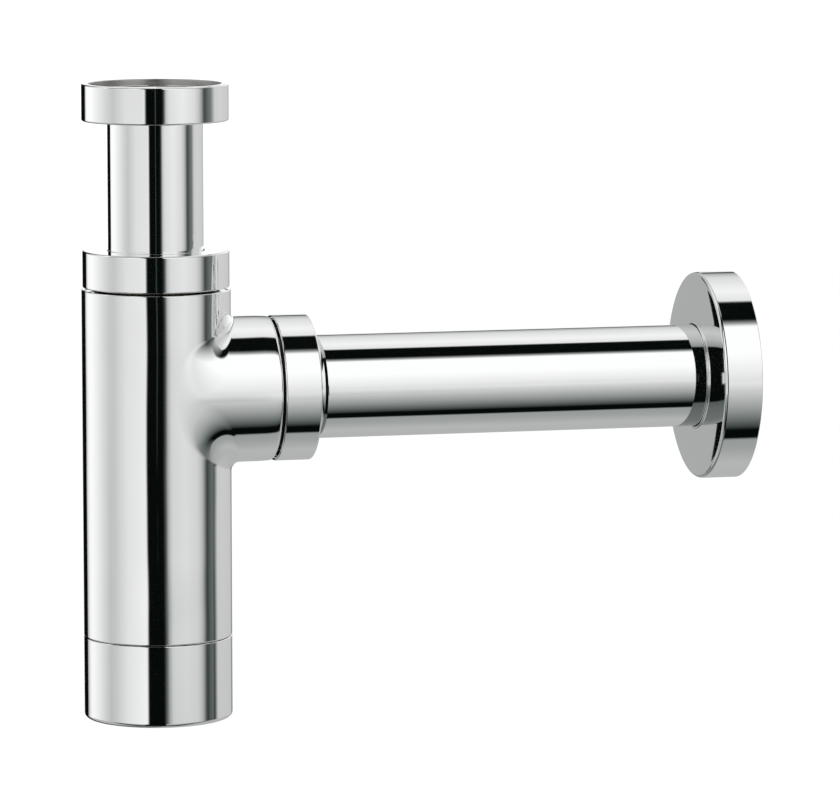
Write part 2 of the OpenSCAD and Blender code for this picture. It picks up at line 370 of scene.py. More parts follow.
def tee(skin, barrel_r, branch_r, blended, low, high, end_x, facing, side):
    """The barrel from low to high with the branch out to end_x, joined by a smooth blend or a crease.

    Returns the barrel's lowest and highest rings, the branch's end ring, and the angles round the branch.
    """
    angles = barrel_angles()
    count = len(angles)
    around = Upright.normals(facing, 0, 0, angles)
    heights = np.linspace(OUTLET_Z - PATCH_RISE, OUTLET_Z + PATCH_RISE, PATCH_STEPS + 1)
    low_ring = skin.ring(Upright.points(barrel_r, low, angles))
    high_ring = skin.ring(Upright.points(barrel_r, high, angles))
    rows = []
    for i, height in enumerate(heights):
        row = np.full(count, -1)
        used = np.arange(count) if i in (0, PATCH_STEPS) else np.r_[PATCH_STEPS:count, 0]
        row[used] = skin.ring(Upright.points(barrel_r, height, angles[used]))
        rows.append(row)
    skin.band(low_ring, rows[0], around, around, side)
    skin.band(rows[-1], high_ring, around, around, side)
    strip = np.r_[PATCH_STEPS:count, 0]
    for lower, upper in zip(rows, rows[1:]):
        skin.band(lower[strip], upper[strip], around[strip], around[strip], side, closed=False)

    steps = np.arange(PATCH_STEPS)
    loop = np.concatenate([
        rows[0][steps], [r[PATCH_STEPS] for r in rows[:-1]],
        rows[-1][PATCH_STEPS - steps], [r[0] for r in rows[:0:-1]],
    ]).astype(int)
    run = np.linspace(-1, 1, PATCH_STEPS + 1)[:-1]
    ones = np.ones(PATCH_STEPS)
    across = np.concatenate([run, ones, -run, -ones])
    rise = np.concatenate([-ones, run, ones, -run])
    loop_angle = across * PATCH_ANGLE
    loop_height = OUTLET_Z + rise * PATCH_RISE
    branch_angles = np.arctan2(rise, across)
    branch_normals = Outlet.normals(facing, 0, 0, branch_angles)
    ball, _ = blend_ball(barrel_r, branch_r, branch_angles, blended)
    touch_angle = np.arctan2(ball[:, 1], ball[:, 0])

    here, n_here = loop, Upright.normals(facing, 0, 0, loop_angle)
    for t in np.linspace(0, 1, BARREL_ROWS + 1)[1:]:
        angle = loop_angle + (touch_angle - loop_angle) * t
        height = loop_height + (ball[:, 2] - loop_height) * t
        n = Upright.normals(facing, 0, 0, angle)
        ring = skin.ring(np.stack([barrel_r * np.cos(angle), barrel_r * np.sin(angle), height], 1))
        skin.band(here, ring, n_here, n, side)
        here, n_here = ring, n
    if blended:
        for t in np.linspace(0, 1, BLEND_ROWS + 1)[1:]:
            ring = skin.ring(blend_points(barrel_r, branch_r, branch_angles, t)[0])
            n = blend_normals(barrel_r, branch_r, branch_angles, t)
            skin.band(here, ring, n_here, n, side)
            here, n_here = ring, n
    branch_y, branch_z = branch_r * np.cos(branch_angles), OUTLET_Z + branch_r * np.sin(branch_angles)
    for t in np.linspace(0, 1, BRANCH_ROWS + 1)[1:]:
        reach = ball[:, 0] + (end_x - ball[:, 0]) * t
        ring = skin.ring(np.stack([reach, branch_y, branch_z], 1))
        skin.band(here, ring, branch_normals, branch_normals, side)
        here = ring
    return low_ring, high_ring, here, branch_angles


BORE_R = 23.3
CHAMBER_R = 21.5
CHAMBER_END = 31.0
STOP_END = 32.5
# Roundings of the shell's edges under the top nut, over the cap and at the outlet nut
TOP_EDGE, SEAM_EDGE, BRANCH_EDGE = 0.35, 0.5, 1.2
SHOULDER = 3.0
NECK_BORE_R = 18.1
GLAND_R = 19.1
GLAND = 1.1
LOW_BORE_R = 21.0
SOCKET_R = 16.2
STOP_R = 14.8
SEAT_CONE = 1.9
SEAM_GAP = 0.15
BRANCH_TAPER, TAPER_LENGTH, TAPER_ROUNDING = 0.25, 3.5, 60


def make_bottle():
    """The casting: barrel, branch, the necks with their male threads, and the bores."""
    skin = Skin()
    neck_top, neck_low = BODY_HIGH.z, BODY_LOW.z
    shell_low = SEAM + SEAM_GAP
    shoulder_top, shoulder_low = BODY_TOP - SHOULDER, SEAM + SHOULDER
    neck_end = BODY_HIGH.x
    # Where the tee's outer wall goes over into the turned ends
    above_seam, below_top, before_end = shell_low + 3, BODY_TOP - 1.5, BRANCH_END - 6
    outer_low, outer_high, outer_end, angles = tee(
        skin, BARREL_R, BRANCH_R, True, above_seam, below_top, before_end, 1, CHROME_SIDE)
    inner_low, inner_high, inner_end, _ = tee(
        skin, BORE_R, CHAMBER_R, False, shoulder_low, shoulder_top, CHAMBER_END, -1, BORE_SIDE)
    turn_outline(skin, [
        Corner(BARREL_R, below_top),
        Corner(BARREL_R, BODY_TOP, TOP_EDGE),
        Corner(SLIP_MALE_ROOT, BODY_TOP, thread=1, side=THREAD_SIDE),
        Corner(SLIP_MALE_ROOT, neck_top, 0.1, side=BORE_SIDE),
        Corner(GLAND_R, neck_top, side=BORE_SIDE),
        Corner(GLAND_R, neck_top - GLAND, side=BORE_SIDE),
        Corner(NECK_BORE_R, neck_top - GLAND, side=BORE_SIDE),
        Corner(NECK_BORE_R, shoulder_top, side=BORE_SIDE),
        Corner(BORE_R, shoulder_top, side=BORE_SIDE),
    ], barrel_angles(), Upright, outer_high, inner_high)
    turn_outline(skin, [
        Corner(BORE_R, shoulder_low, side=BORE_SIDE),
        Corner(LOW_BORE_R, shoulder_low, side=BORE_SIDE),
        Corner(LOW_BORE_R, neck_low, 0.2, side=BORE_SIDE),
        Corner(CAP_MALE_ROOT, neck_low, 0.3, thread=1, side=THREAD_SIDE),
        Corner(CAP_MALE_ROOT, shell_low, side=BORE_SIDE),
        Corner(BARREL_R, shell_low, SEAM_EDGE),
        Corner(BARREL_R, above_seam),
    ], barrel_angles(), Upright, inner_low, outer_low)
    turn_outline(skin, [
        Corner(BRANCH_R, before_end),
        Corner(BRANCH_R, BRANCH_END - TAPER_LENGTH, TAPER_ROUNDING),
        Corner(BRANCH_R - BRANCH_TAPER, BRANCH_END, BRANCH_EDGE),
        Corner(SLIP_MALE_ROOT, BRANCH_END, thread=1, side=THREAD_SIDE),
        Corner(SLIP_MALE_ROOT, neck_end, 0.3, side=BORE_SIDE),
        Corner(SOCKET_R + SEAT_CONE, neck_end, side=BORE_SIDE),
        Corner(SOCKET_R, neck_end - SEAT_CONE, side=BORE_SIDE),
        Corner(SOCKET_R, STOP_END, side=BORE_SIDE),
        Corner(STOP_R, STOP_END, side=BORE_SIDE),
        Corner(STOP_R, CHAMBER_END, side=BORE_SIDE),
        Corner(CHAMBER_R, CHAMBER_END, side=BORE_SIDE),
    ], angles, Outlet, outer_end, inner_end)
    return skin


# ---------------------------------------------------------------- turned pieces

LIP = 2.0
HOLE_R = TUBE_R + 0.3
OPEN_EDGE = 0.5
LIP_EDGE = 0.6


def slip_nut_outline(low):
    """A nut with its open end at low and its lip at the top of its height."""
    high = low + NUT_H
    chamfer = 0.4
    return [
        Corner(NUT_R, low, OPEN_EDGE),
        Corner(NUT_R, high, LIP_EDGE),
        Corner(HOLE_R, high, 0.25),
        Corner(HOLE_R, high - LIP, side=BORE_SIDE),
        Corner(SLIP_FEMALE_ROOT, high - LIP, thread=-1, side=THREAD_SIDE),
        Corner(SLIP_FEMALE_ROOT, low + chamfer, side=BORE_SIDE),
        Corner(SLIP_FEMALE_ROOT + chamfer, low),
    ]


def inlet_nut_outline():
    low, high = NUT_LOW.z, NUT_HIGH.z
    lip_top = IN_RING_LOW.z
    mouth_r, mouth_low_r, mouth_depth, mouth_cone = 22.1, 22.0, 2.3, 0.8
    cone_high = high - mouth_depth
    cone_low = cone_high - mouth_cone
    relief_r = SLIP_FEMALE_ROOT + 0.1
    return [
        Corner(NUT_R, low, LIP_EDGE),
        Corner(NUT_R, high, OPEN_EDGE),
        Corner(mouth_r, high, 0.3, side=BORE_SIDE),
        Corner(mouth_low_r, cone_high, 0.2),
        Corner(SLIP_FEMALE_ROOT, cone_low, thread=-1, side=THREAD_SIDE),
        Corner(SLIP_FEMALE_ROOT, 0, side=BORE_SIDE),
        Corner(relief_r, 0, side=BORE_SIDE),
        Corner(relief_r, lip_top, side=BORE_SIDE),
        Corner(HOLE_R, lip_top, side=BORE_SIDE),
        Corner(HOLE_R, low, 0.6),
    ]


def cap_outline():
    low, high = CAP_LOW.z, CAP_HIGH.z
    ledge = CAP_GASKET_LOW.z - SEAT_GAP
    bowl_r, floor, chamfer = 20.5, low + 2.5, 0.3
    return [
        Corner(0, low),
        Corner(BARREL_R, low, 1.5),
        Corner(BARREL_R, high, 0.3),
        Corner(CAP_FEMALE_ROOT + chamfer, high, side=BORE_SIDE),
        Corner(CAP_FEMALE_ROOT, high - chamfer, thread=-1, side=THREAD_SIDE),
        Corner(CAP_FEMALE_ROOT, ledge, side=BORE_SIDE),
        Corner(bowl_r, ledge, 0.3, side=BORE_SIDE),
        Corner(bowl_r, floor, 3, side=BORE_SIDE),
        Corner(0, floor, side=BORE_SIDE),
    ]


def inlet_tube_outline():
    low, top = TUBE_LOW.z, TUBE_HIGH.z
    flare_r, flare = TUBE_HIGH.x, 1.0
    bore = TUBE_R - TUBE_WALL
    return [
        Corner(bore, low, 0.2, side=BORE_SIDE),
        Corner(TUBE_R, low, 0.3),
        Corner(TUBE_R, top - flare, 0.2),
        Corner(flare_r, top - flare, 0.4),
        Corner(flare_r, top, 0.4),
        Corner(bore, top, 1.0, side=BORE_SIDE),
    ]


def outlet_tube_outline():
    """Wide between its ends, drawn in with a cone at the nut and a shoulder at the wall."""
    start, finish = OUT_TUBE_LOW.x, OUT_TUBE_HIGH.x
    wall = FLANGE_HIGH.x
    rise = WIDE_R - TUBE_R
    cone, cone_end = OUT_NUT_HIGH.x + 0.2, OUT_NUT_HIGH.x + 2.6
    bore, wide_bore, chamfer = TUBE_R - TUBE_WALL, WIDE_R - TUBE_WALL, 0.5
    return [
        Corner(bore, start, 0.2),
        Corner(TUBE_R, start, 0.3),
        Corner(TUBE_R, cone, 0.6),
        Corner(WIDE_R, cone_end, 5.0),
        Corner(WIDE_R, wall - rise, 1),
        Corner(TUBE_R, wall, 1),
        Corner(TUBE_R, finish - chamfer),
        Corner(TUBE_R - chamfer, finish, side=BORE_SIDE),
        Corner(bore, finish, side=BORE_SIDE),
        Corner(bore, wall - TUBE_WALL, 1, side=BORE_SIDE),
        Corner(wide_bore, wall - TUBE_WALL - rise, 1, side=BORE_SIDE),
        Corner(wide_bore, cone_end + TUBE_WALL, 3, side=BORE_SIDE),
        Corner(bore, cone + TUBE_WALL, 1, side=BORE_SIDE),
    ]


def flange_outline():
    """A pressed cover: its domed face at the low end, open towards the wall at the high end."""
    wall, tip = FLANGE_HIGH.x, FLANGE_LOW.x
    collar, dome, plate, hub = 0.5, 0.55, 1.2, 7.0
    face = tip + collar
    hole_r, collar_r, hub_r, groove_r = WIDE_R + 0.3, WIDE_R + 0.9, WIDE_R + 3.5, WIDE_R + 1.8
    groove_low, groove_high = GRIP_LOW.x - SEAT_GAP, GRIP_HIGH.x + SEAT_GAP
    edge = 1.2
    dome_start, dome_end = collar_r + 0.3, FLANGE_R - edge
    dome_steps, dome_power = 24, 7
    hollow = face + dome + plate

    def dome_point(share):
        radius = dome_start + (dome_end - dome_start) * share
        return Corner(radius, face + dome * (radius / dome_end) ** dome_power, smooth=True)

    return [
        Corner(hole_r, tip, 0.2),
        Corner(collar_r, tip, 0.35),
        Corner(collar_r, face, 0.25),
        *[dome_point(i / dome_steps) for i in range(dome_steps + 1)],
        Corner(FLANGE_R, face + dome + 0.05, edge),
        Corner(FLANGE_R, wall, 0.3),
        Corner(FLANGE_R - plate, wall, 0.3, side=BORE_SIDE),
        Corner(FLANGE_R - plate, hollow, 0.6, side=BORE_SIDE),
        Corner(hub_r, hollow, 0.5, side=BORE_SIDE),
        Corner(hub_r, face + hub, 0.3, side=BORE_SIDE),
        Corner(hole_r, face + hub, side=BORE_SIDE),
        Corner(hole_r, groove_high, side=BORE_SIDE),
        Corner(groove_r, groove_high, side=BORE_SIDE),
        Corner(groove_r, groove_low, side=BORE_SIDE),
        Corner(hole_r, groove_low, side=BORE_SIDE),
    ]


def ring_outline(low, high, inner, outer, rounding=0.2):
    """A flat ring with rounded edges."""
    return [
        Corner(outer, low, rounding),
        Corner(outer, high, rounding),
        Corner(inner, high, rounding),
        Corner(inner, low, rounding),
    ]


def cone_seal_outline(low, high, tip_r, seat_top_r, rim_r):
    """A tapered seal: its tip at low, its rim's back face at high."""
    rim = 1.55
    rim_low = high - rim
    return [
        Corner(tip_r, low, 0.15),
        Corner(seat_top_r, rim_low, 0.1),
        Corner(rim_r, rim_low, 0.3),
        Corner(rim_r, high, 0.3),
        Corner(RING_HOLE_R, high, 0.3),
        Corner(RING_HOLE_R, low, 0.15),
    ]


def dip_tube_outline():
    low, high = DIP_LOW.z, DIP_HIGH.z
    outer, bore, rim_r, rim = 18.0, 16.8, DIP_HIGH.x, 1.5
    return [
        Corner(bore, low, 0.2),
        Corner(outer, low, 0.4),
        Corner(outer, high - rim, 0.2),
        Corner(rim_r, high - rim, 0.3),
        Corner(rim_r, high, 0.3),
        Corner(bore + SEAT_CONE, high),
        Corner(bore, high - SEAT_CONE),
    ]


def o_ring_outline():
    """A round section."""
    half = (DIP_O_RING_HIGH.z - DIP_O_RING_LOW.z) / 2
    middle_r, middle_z = DIP_O_RING_HIGH.x - half, DIP_O_RING_LOW.z + half
    count = 24
    turns = [2 * math.pi * i / count for i in range(count)]
    return [Corner(middle_r + half * math.cos(t), middle_z + half * math.sin(t), smooth=True) for t in turns]


# ---------------------------------------------------------------- materials


# The part of a noise texture's range that most of it lies in
NOISE_SPAN = (0.3, 0.7)


class Nodes:
    """Short way to build a node tree."""

    def __init__(self, owner):
        owner.use_nodes = True
        self.tree = owner.node_tree
        self.tree.nodes.clear()

    def add(self, kind, settings=None, **inputs):
        node = self.tree.nodes.new(kind)
        for name, value in (settings or {}).items():
            setattr(node, name, value)
        for name, value in inputs.items():
            self.put(node.inputs[name.replace("_", " ")], value)
        return node

    def put(self, socket, value):
        if isinstance(value, bpy.types.NodeSocket):
            self.tree.links.new(value, socket)
        else:
            socket.default_value = value

    def math(self, operation, *values):
        node = self.tree.nodes.new("ShaderNodeMath")
        node.operation = operation
        for socket, value in zip(node.inputs, values):
            self.put(socket, value)
        return node.outputs[0]

    def mix(self, factor, first, second):
        node = self.add("ShaderNodeMix", {"data_type": "RGBA"})
        self.put(node.inputs[0], factor)
        self.put(node.inputs[6], first)
        self.put(node.inputs[7], second)
        return node.outputs[2]

    def ramp(self, factor, stops):
        """A colour ramp from (place, colour) pairs."""
        node = self.add("ShaderNodeValToRGB", Fac=factor)
        elements = node.color_ramp.elements
        while len(elements) < len(stops):
            elements.new(1.0)
        for element, (place, colour) in zip(elements, stops):
            element.position = place
            element.color = colour
        return node.outputs["Color"]

    def ranged(self, value, low, high, to_low, to_high):
        node = self.add("ShaderNodeMapRange", Value=value, From_Min=low, From_Max=high,
                        To_Min=to_low, To_Max=to_high)
        return node.outputs["Result"]

    def noise(self, place, scale, detail=2.0, roughness=0.5):
        node = self.add("ShaderNodeTexNoise", Vector=place, Scale=scale, Detail=detail, Roughness=roughness)
        return node.outputs["Fac"]


def surface(name):
    """A new material with its node tree and the object's own coordinates, in metres."""
    material = bpy.data.materials.new(name)
    nodes = Nodes(material)
    place = nodes.add("ShaderNodeTexCoord").outputs["Object"]
    return material, nodes, place


def finish_surface(nodes, shader):
    out = nodes.add("ShaderNodeOutputMaterial")
    nodes.tree.links.new(shader.outputs["BSDF"], out.inputs["Surface"])


def stretched(nodes, place, scale):
    """The same coordinates, scaled along each axis."""
    return nodes.add("ShaderNodeMapping", Vector=place, Scale=scale).outputs["Vector"]


def chrome(name, marks, roughness=0.03, ripple=0.12, waves=0.0):
    """Bright chrome plate: a mirror with a faint ripple, cloudy wiping marks and fine polishing lines.

    marks stretches the polishing lines: large numbers run across them, small ones along them.
    waves is the height, in metres, of the slow unevenness that a cast and polished surface keeps.
    """
    material, nodes, place = surface(name)
    wiping = nodes.noise(place, 55, 4, 0.6)
    pores = nodes.noise(place, 900, 2)
    lines = nodes.noise(stretched(nodes, place, marks), 1, 3, 0.7)
    tint = nodes.mix(wiping, (0.90, 0.905, 0.91, 1), (0.93, 0.933, 0.935, 1))
    tint = nodes.mix(nodes.math("MULTIPLY", lines, 0.12), tint, (0.80, 0.805, 0.81, 1))
    haze = nodes.ranged(wiping, *NOISE_SPAN, roughness * 0.6, roughness * 1.4)
    haze = nodes.math("ADD", haze, nodes.math("MULTIPLY", lines, roughness * 0.5))
    relief = nodes.math("ADD", nodes.math("MULTIPLY", pores, 0.25), lines)
    bump = nodes.add("ShaderNodeBump", Strength=ripple, Distance=0.000002, Height=relief)
    if waves:
        swell = nodes.noise(place, 28, 1)
        bump = nodes.add("ShaderNodeBump", Strength=1.0, Distance=waves, Height=swell,
                         Normal=bump.outputs["Normal"])
    shader = nodes.add("ShaderNodeBsdfPrincipled", Base_Color=tint, Roughness=haze,
                       Normal=bump.outputs["Normal"])
    shader.inputs["Metallic"].default_value = 1.0
    finish_surface(nodes, shader)
    return material


def clouded(nodes, cloud, grain, dark, light, haze, relief):
    """A dull shader: cloud leads its tint and roughness, grain its bump of a strength and a height."""
    tint = nodes.mix(cloud, (*dark, 1), (*light, 1))
    roughness = nodes.ranged(cloud, *NOISE_SPAN, *haze)
    strength, height = relief
    bump = nodes.add("ShaderNodeBump", Strength=strength, Distance=height, Height=grain)
    return nodes.add("ShaderNodeBsdfPrincipled", Base_Color=tint, Roughness=roughness,
                     Normal=bump.outputs["Normal"])


def dull_bore(name):
    """The inside of the castings: machined, thinly plated and cloudy."""
    material, nodes, place = surface(name)
    shader = clouded(nodes, nodes.noise(place, 120, 5, 0.65), nodes.noise(place, 2600, 3),
                     (0.50, 0.50, 0.49), (0.66, 0.66, 0.65), (0.28, 0.42), (0.35, 0.00002))
    shader.inputs["Metallic"].default_value = 1.0
    finish_surface(nodes, shader)
    return material


def shade_darkened_thread_metal(name):
    """Cut threads: thinly plated brass, its colour darkened as painted shade so the groove between nut and
    bottle reads as shadow.
    """
    material, nodes, place = surface(name)
    # Painted shade: these dark brass tints stand in for the shadow deep in the thread groove
    shader = clouded(nodes, nodes.noise(place, 140, 5, 0.6), nodes.noise(place, 2400, 3),
                     (0.10, 0.085, 0.062), (0.27, 0.23, 0.17), (0.32, 0.48), (0.4, 0.00002))
    shader.inputs["Metallic"].default_value = 1.0
    finish_surface(nodes, shader)
    return material


def rubber(name):
    """Black moulded rubber with a dusty bloom and a fine grain."""
    material, nodes, place = surface(name)
    shader = clouded(nodes, nodes.noise(place, 160, 5, 0.6), nodes.noise(place, 3500, 3),
                     (0.018, 0.018, 0.019), (0.050, 0.049, 0.048), (0.55, 0.72), (0.5, 0.00003))
    shader.inputs["Specular IOR Level"].default_value = 0.35
    finish_surface(nodes, shader)
    return material


def plastic(name):
    """Milky white moulded polypropylene, waxy, with faint flow marks."""
    material, nodes, place = surface(name)
    flow = nodes.noise(stretched(nodes, place, (60, 60, 260)), 1, 3, 0.5)
    shader = clouded(nodes, flow, nodes.noise(place, 2200, 2),
                     (0.78, 0.78, 0.75), (0.86, 0.86, 0.84), (0.34, 0.46), (0.3, 0.00002))
    shader.inputs["Subsurface Weight"].default_value = 0.15
    shader.inputs["Subsurface Radius"].default_value = (0.004, 0.004, 0.003)
    finish_surface(nodes, shader)
    return material


def pale_floor(name):
    """Plain matt paint, nearly even."""
    material, nodes, place = surface(name)
    shade = nodes.noise(place, 0.6, 2)
    tint = nodes.mix(shade, (0.90, 0.90, 0.90, 1), (0.92, 0.92, 0.92, 1))
    finish_surface(nodes, nodes.add("ShaderNodeBsdfDiffuse", Color=tint))
    return material


# Polishing lines run round a turned piece: fine along its axis, long across it
ROUND_UPRIGHT = (30, 30, 6000)
ROUND_OUTLET = (6000, 30, 30)
BORE_METAL = dull_bore("dull_bore_metal")
# The thread finish is brass darkened as painted shade for the thread groove
SHADE_DARKENED_THREAD_METAL = shade_darkened_thread_metal("thread_brass_with_painted_shade")


def plated(chrome_plate):
    """A casting's three finishes, in the order of CHROME_SIDE, BORE_SIDE and THREAD_SIDE."""
    return [chrome_plate, BORE_METAL, SHADE_DARKENED_THREAD_METAL]


FINISHES = {
    "bottle": plated(chrome("bottle_chrome", (300, 300, 2500), ripple=0.15, waves=0.00035)),
    "cap": plated(chrome("cap_chrome", ROUND_UPRIGHT)),
    "upright_nut": plated(chrome("nut_chrome", ROUND_UPRIGHT)),
    "outlet_nut": plated(chrome("outlet_nut_chrome", ROUND_OUTLET)),
    "upright_tube": plated(chrome("tube_chrome", ROUND_UPRIGHT, roughness=0.025, ripple=0.08)),
    "outlet_tube": plated(chrome("outlet_tube_chrome", ROUND_OUTLET, roughness=0.025, ripple=0.08)),
    "flange": plated(chrome("flange_chrome", ROUND_OUTLET, ripple=0.08)),
    "rubber": [rubber("black_rubber")],
    "plastic": [plastic("white_polypropylene")],
}

# ---------------------------------------------------------------- pieces

BODY_OF = {node: body for body, nodes in frame["record"]["behaviour"]["bodies"].items() for node in nodes}


def stand_in(piece, node):
    """The piece takes the CAD node's place, on the same body."""
    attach(piece, BODY_OF[node])
    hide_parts(node)


def turned_piece(name, node, outline, place, finish):
    """A whole turned piece: a closed outline turned once round its axis."""
    skin = Skin()
    angles = np.arange(ROUND) * 2 * math.pi / ROUND
    turn_outline(skin, outline, angles, place)
    stand_in(skin.to_object(name, FINISHES[finish]), node)


CAP_SEAL_HOLE_R = 20.55
GASKET_HOLE_R = TUBE_R - TUBE_WALL + 0.2
UPRIGHT_SEAT_TIP, UPRIGHT_SEAT_TOP = 16.8, 18.4
OUTLET_SEAT_TIP, OUTLET_SEAT_TOP = 16.2, 17.8

stand_in(make_bottle().to_object("bottle_casting", FINISHES["bottle"]), "body")
turned_piece("screw_cap", "bottom_cap", cap_outline(), Upright, "cap")
turned_piece("cap_seal", "cap_gasket",
             ring_outline(CAP_GASKET_LOW.z, CAP_GASKET_HIGH.z, CAP_SEAL_HOLE_R, CAP_GASKET_HIGH.x, 0.4),
             Upright, "rubber")
turned_piece("dip_pipe", "dip_tube", dip_tube_outline(), Upright, "plastic")
turned_piece("dip_pipe_o_ring", "dip_tube_o_ring", o_ring_outline(), Upright, "rubber")
turned_piece("neck_nut", "top_nut", slip_nut_outline(TOP_NUT_LOW.z), Upright, "upright_nut")
turned_piece("neck_slip_ring", "top_slip_ring",
             ring_outline(TOP_RING_LOW.z, TOP_RING_HIGH.z, RING_HOLE_R, TOP_RING_HIGH.x), Upright, "plastic")
turned_piece("neck_cone_seal", "top_cone_seal",
             cone_seal_outline(TOP_SEAL_LOW.z, TOP_SEAL_HIGH.z,
                               UPRIGHT_SEAT_TIP, UPRIGHT_SEAT_TOP, TOP_SEAL_HIGH.x),
             Upright, "rubber")
turned_piece("inlet_pipe", "inlet_tube", inlet_tube_outline(), Upright, "upright_tube")
turned_piece("basin_nut", "inlet_nut", inlet_nut_outline(), Upright, "upright_nut")
turned_piece("basin_slip_ring", "inlet_slip_ring",
             ring_outline(IN_RING_LOW.z, IN_RING_HIGH.z, RING_HOLE_R, IN_RING_HIGH.x), Upright, "plastic")
turned_piece("basin_gasket", "inlet_gasket",
             ring_outline(GASKET_LOW.z, GASKET_HIGH.z, GASKET_HOLE_R, GASKET_HIGH.x, 0.3),
             Upright, "rubber")
turned_piece("branch_nut", "outlet_nut", slip_nut_outline(OUT_NUT_LOW.x), Outlet, "outlet_nut")
turned_piece("branch_slip_ring", "outlet_slip_ring",
             ring_outline(OUT_RING_LOW.x, OUT_RING_HIGH.x, RING_HOLE_R, OUT_RING_HIGH.y), Outlet, "plastic")
turned_piece("branch_cone_seal", "outlet_cone_seal",
             cone_seal_outline(OUT_SEAL_LOW.x, OUT_SEAL_HIGH.x,
                               OUTLET_SEAT_TIP, OUTLET_SEAT_TOP, OUT_SEAL_HIGH.y),
             Outlet, "rubber")
turned_piece("outlet_pipe", "outlet_tube", outlet_tube_outline(), Outlet, "outlet_tube")
turned_piece("wall_cover", "wall_flange", flange_outline(), Outlet, "flange")
turned_piece("wall_cover_grip_ring", "flange_grip_ring",
             ring_outline(GRIP_LOW.x, GRIP_HIGH.x, WIDE_R + SLIDE_GAP, GRIP_HIGH.y, 0.4), Outlet, "rubber")

# ---------------------------------------------------------------- studio

CHROME_REFLECTS = 0.92
DOME = 1.12
BLACK = 0.03
# How far the photo's darker greys lean to green, from its mean colours
GREEN_LEAN = (-0.012, 0.010, 0.002)
LEAN_FROM, LEAN_SPAN = 0.8, 0.3


def shown(value):
    """The light that shows as this grey, from 0 to 1, in the chrome. Darker greys lean to green."""
    lean = min(max((LEAN_FROM - value) / LEAN_SPAN, 0), 1)
    shades = [value + part * lean for part in GREEN_LEAN]
    linear = [((c + 0.055) / 1.055) ** 2.4 for c in shades]
    return (*[c / CHROME_REFLECTS for c in linear], 1)


# The greys in HORIZON_HIGH, HORIZON_LOW and OVERHEAD were sampled from the photo's chrome by a measuring
# script and typed in here. That breaks the rule against such tables, as report.md says.
# What the chrome sees round the horizon, by degrees from the front towards the bottle's side of the
# studio: a black flag in front, softboxes to its left and right, grey walls behind
HORIZON_HIGH = [
    (-180, 0.64), (-169, 0.50), (-148, 0.78), (-111, 0.82), (-97, 0.80), (-87, 0.49), (-76, 0.33),
    (-72, 0.27), (-66, 0.64), (-62, 0.76), (-54, 0.86), (-33, 0.93), (-12, 0.88), (-6.5, 0.79),
    (-3, 0.30), (-1, BLACK), (25, BLACK), (27.5, 0.92), (30, 0.87), (57, 0.87), (80, 0.77), (117, 0.95),
    (128, 1.0), (146, 1.0), (153, 0.66),
]
HORIZON_LOW = [
    (-180, 0.64), (-169, 0.35), (-152, 0.40), (-142, 0.75), (-95, 0.77), (-92.5, 0.60), (-88.5, 0.06),
    (-86.5, 0.08), (-83.5, 0.38), (-76, 0.30), (-72, 0.17), (-68, 0.34), (-64, 0.61), (-60, 0.71),
    (-53, 0.78), (-39, 0.79), (-16, 0.78), (-12, 0.76), (-9, 0.66), (-5, 0.50), (-2, 0.36), (1, 0.10),
    (3, BLACK), (25.5, BLACK), (27.5, 0.85), (29, 0.97), (59, 0.89), (90, 0.71), (116, 0.90),
    (134, 0.97), (141, 0.93), (150, 0.66),
]
# What it sees over the top, by degrees from the front upwards: between the flag and the right wall,
# where the flag stands, and on the right wall
OVERHEAD = [
    (-180, 0.69), (-145, 0.69), (-110, 0.71), (-84, 0.62), (-72, 0.60), (-69, BLACK), (-58, BLACK),
    (-57, 0.12), (-54, 0.25), (-50, 0.34), (-43, 0.46), (-36, 0.56), (-26.5, 0.66), (-17, 0.755),
    (-6, 0.85), (7.5, 0.925), (23, 0.98), (30, 1.0), (61, 1.0), (65, 0.60), (69.5, BLACK), (94, BLACK),
    (97, 0.90), (113, 0.957), (145, 0.85), (160, 0.66), (164, 0.30), (171, 0.30), (172.5, 1.0),
]
FLAG = [
    (-180, 0.62), (-120, 0.45), (-75, 0.40), (-60, 0.35), (-57, BLACK), (72, BLACK), (75, 0.58),
    (95, 0.74), (120, 0.80), (175, 0.64),
]
RIGHT_WALL = [
    (-170, 0.72), (-90, 0.64), (-60, 0.50), (-30, 0.30), (20, 0.25), (60, 0.50), (95, 0.75), (170, 0.80),
]

# Where these profiles hold, by the upward or the sideways part of the direction looked at (right is 1)
HORIZON_REACH, HORIZON_EDGE = (-0.235, -0.01), 0.042
LOW_TO_HIGH = (-0.22, -0.06)
FLAG_REACH, FLAG_EDGE = (-0.48, 0.024), 0.008
RIGHT_WALL_FROM, RIGHT_WALL_FULL = 0.62, 0.92
# Towards the right the lights overhead close in by half
CLOSING_SPAN, CLOSING = (0.3, 0.7), (1, 1.5)
# On the left the horizon reaches higher, which the inlet tube's foot and its image in the top nut show
LIFT_SPAN, LIFT, LIFT_FROM = (0.10, 0.16), (0.16, 0), -0.1
# The seam between the front flag's halves
FLAG_SEAM, SEAM_SOFTNESS = (math.radians(9.4), math.radians(11.2)), 0.006
SEAM_FOOT, SEAM_GREY = (-0.145, -0.12), 0.22


def stops_of(profile):
    """A profile by degrees, as the stops of a colour ramp over the full turn."""
    return [((angle + 180) / 360, shown(value)) for angle, value in profile]


